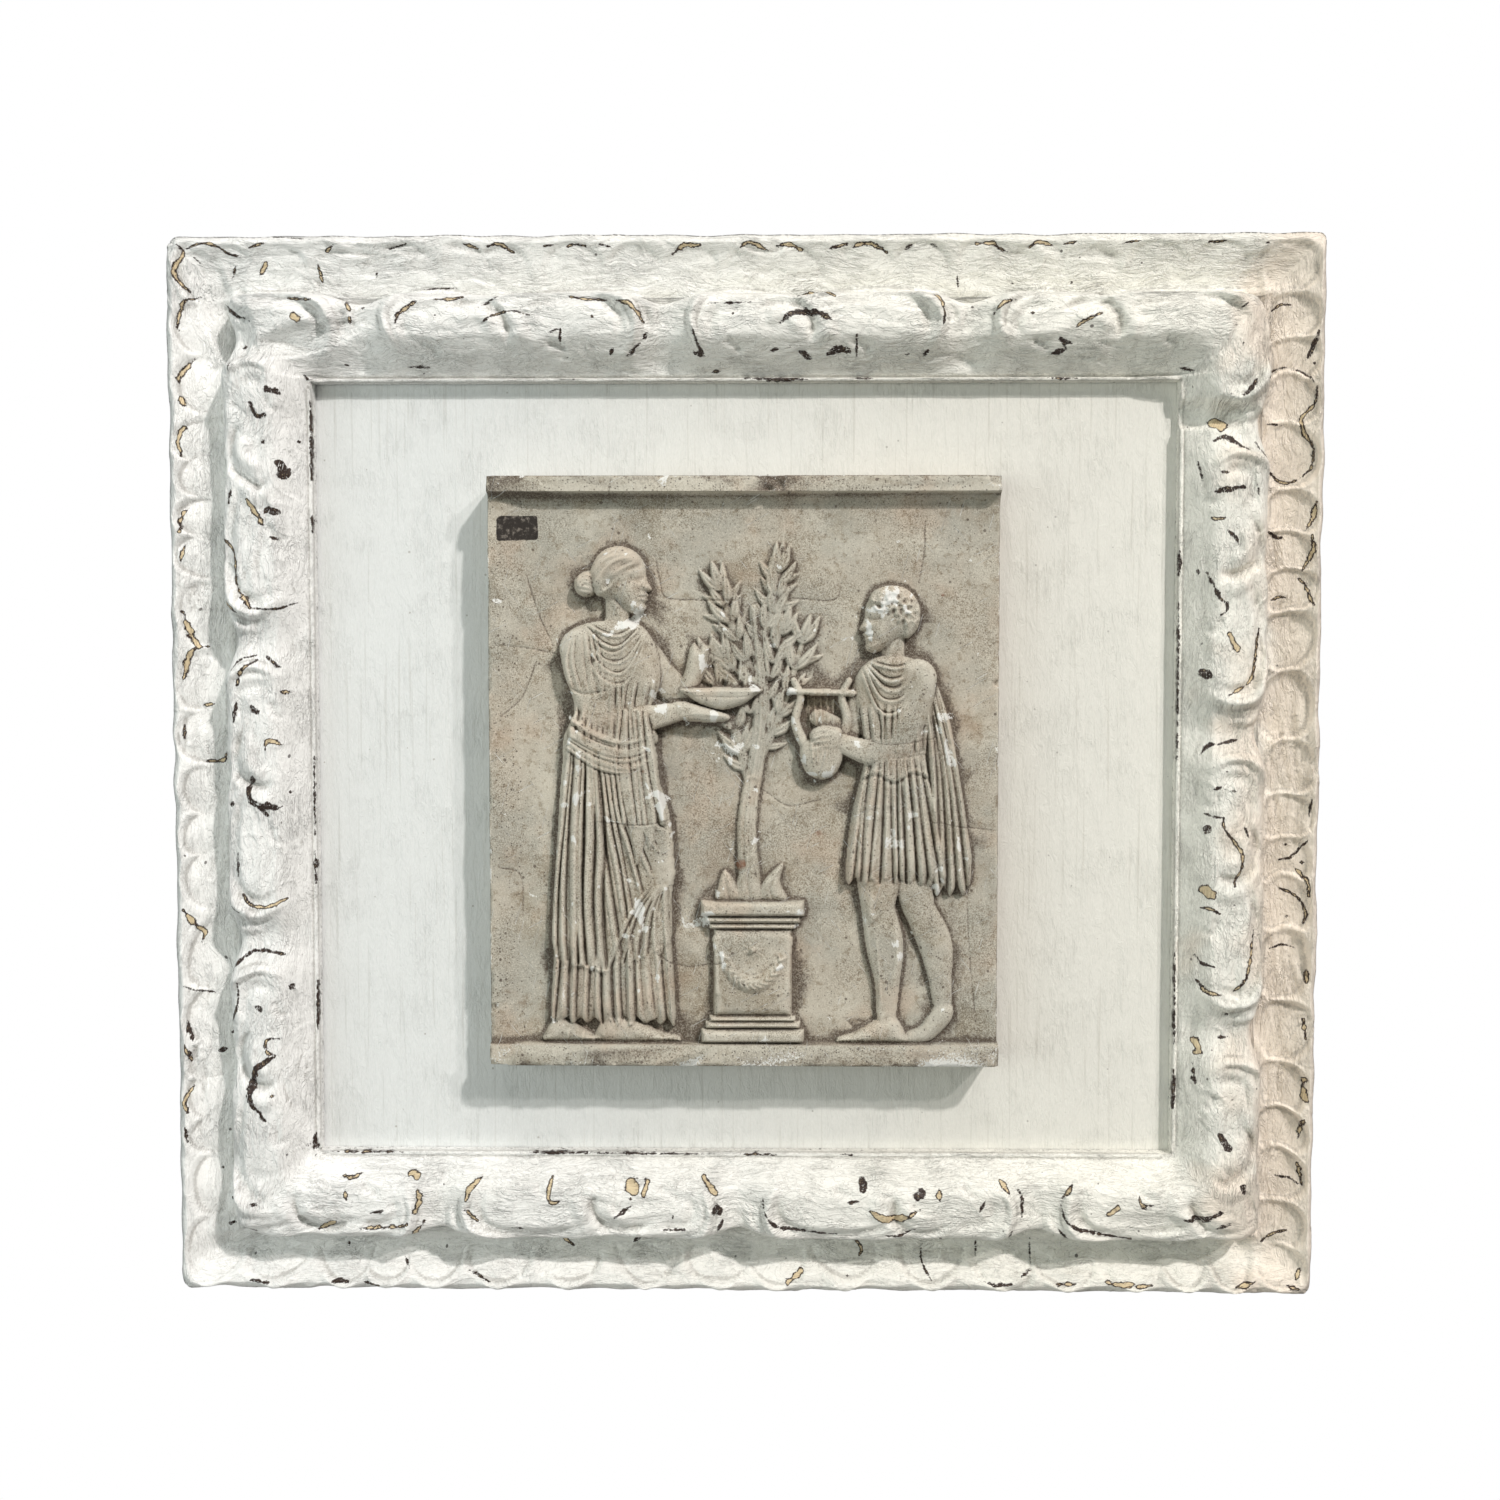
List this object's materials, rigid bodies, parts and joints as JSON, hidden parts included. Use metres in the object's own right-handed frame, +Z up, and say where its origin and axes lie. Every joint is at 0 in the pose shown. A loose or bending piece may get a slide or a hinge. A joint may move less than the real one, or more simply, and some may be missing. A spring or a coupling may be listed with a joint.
{
  "type": "framed plaster wall relief",
  "caption": "Wall-hung plaster relief slab with standing draped figures at an altar, set on a white board in a wide carved and distressed white frame.",
  "frame": {"origin": "middle of the flat back of the top rail, where the frame bears on the wall", "axes": "+Z up, +Y into the wall, -Y out of the relief's carved face, +X to the right as seen from the front"},
  "size_m": [0.79, 0.0678, 0.73],
  "materials": {
    "frame_paint": "thick brushed white paint over carved wood, rubbed through to brown and pale gold on the high lines",
    "board_paint": "matt off-white paint with fine upright brush lines",
    "plaster": "matt aged plaster, grey-beige with brown dirt in the hollows and paler worn edges"
  },
  "bodies": {
    "root": {"frame_rail_top": "frame_paint", "frame_rail_bottom": "frame_paint", "frame_rail_left": "frame_paint", "frame_rail_right": "frame_paint", "backing_board": "board_paint", "plaster_relief": "plaster"}
  },
  "joints": []
}
